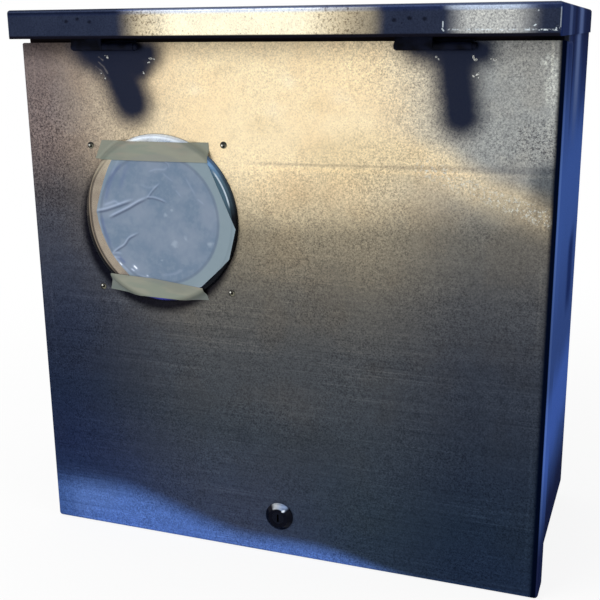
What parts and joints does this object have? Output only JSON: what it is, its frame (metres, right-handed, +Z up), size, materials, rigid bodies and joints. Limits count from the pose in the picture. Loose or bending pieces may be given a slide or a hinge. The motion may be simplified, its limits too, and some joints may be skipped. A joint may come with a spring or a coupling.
{
  "type": "wall-mounted electrical enclosure",
  "caption": "Galvanised sheet-steel enclosure with a rain hood, a lift-up pan door on hinges, a round riveted window under film and tape, and a cam lock.",
  "frame": {"origin": "centre of the rectangle of wall-fixing holes, on the back panel's outer face", "axes": "+X to the right of someone facing the door, +Y back into the wall, +Z up"},
  "size_m": [0.508, 0.2552, 0.5238],
  "materials": {
    "galvanised_sheet": "mill galvanised sheet, brushed lines, fine speckle",
    "hinge_steel": "dull rolled steel under touch-up paint",
    "zinc_hardware": "zinc-plated",
    "window_rim": "pressed steel, polished and plated",
    "window_pane": "clear polycarbonate",
    "film": "thin translucent film, wrinkled",
    "tape": "translucent masking tape",
    "foam": "closed-cell foam",
    "grommet_rubber": "moulded rubber",
    "lock_black": "gloss black",
    "lock_steel": "plated",
    "earth_brass": "plain brass"
  },
  "bodies": {
    "cabinet": {"body_wrap": "galvanised_sheet", "back_panel": "galvanised_sheet", "rain_hood": "galvanised_sheet", "hinge_frame_leaf_left": "hinge_steel", "hinge_frame_leaf_right": "hinge_steel", "hinge_pin_left": "hinge_steel", "hinge_pin_right": "hinge_steel", "mounting_plate": "galvanised_sheet", "plate_spacers": "zinc_hardware", "plate_studs": "zinc_hardware", "plate_washers": "zinc_hardware", "plate_nuts": "zinc_hardware", "earth_stud": "earth_brass", "earth_washers": "earth_brass", "earth_nuts": "earth_brass", "cable_grommet_left": "grommet_rubber", "cable_grommet_right": "grommet_rubber"},
    "door": {"door_panel": "galvanised_sheet", "hinge_door_leaf_left": "hinge_steel", "hinge_door_leaf_right": "hinge_steel", "window_frame": "window_rim", "window_gasket": "foam", "window_pane": "window_pane", "window_retainer": "galvanised_sheet", "window_rivets": "zinc_hardware", "window_film": "film", "tape_top": "tape", "tape_bottom": "tape", "door_seal": "foam", "lock_housing": "lock_black", "lock_nut": "zinc_hardware"},
    "lock_plug": {"lock_cylinder": "lock_black", "lock_cam": "lock_steel", "lock_cam_screw": "lock_steel"}
  },
  "joints": [
    {"name": "door_hinge", "type": "hinge", "parent": "cabinet", "child": "door", "pos_m": [0, -0.2345, 0.2246], "axis": [-1, 0, 0], "range_deg": [0, 110]},
    {"name": "lock_turn", "type": "hinge", "parent": "door", "child": "lock_plug", "pos_m": [0.0025, -0.2134, -0.2242], "axis": [0, 1, 0], "range_deg": [0, 90]}
  ]
}
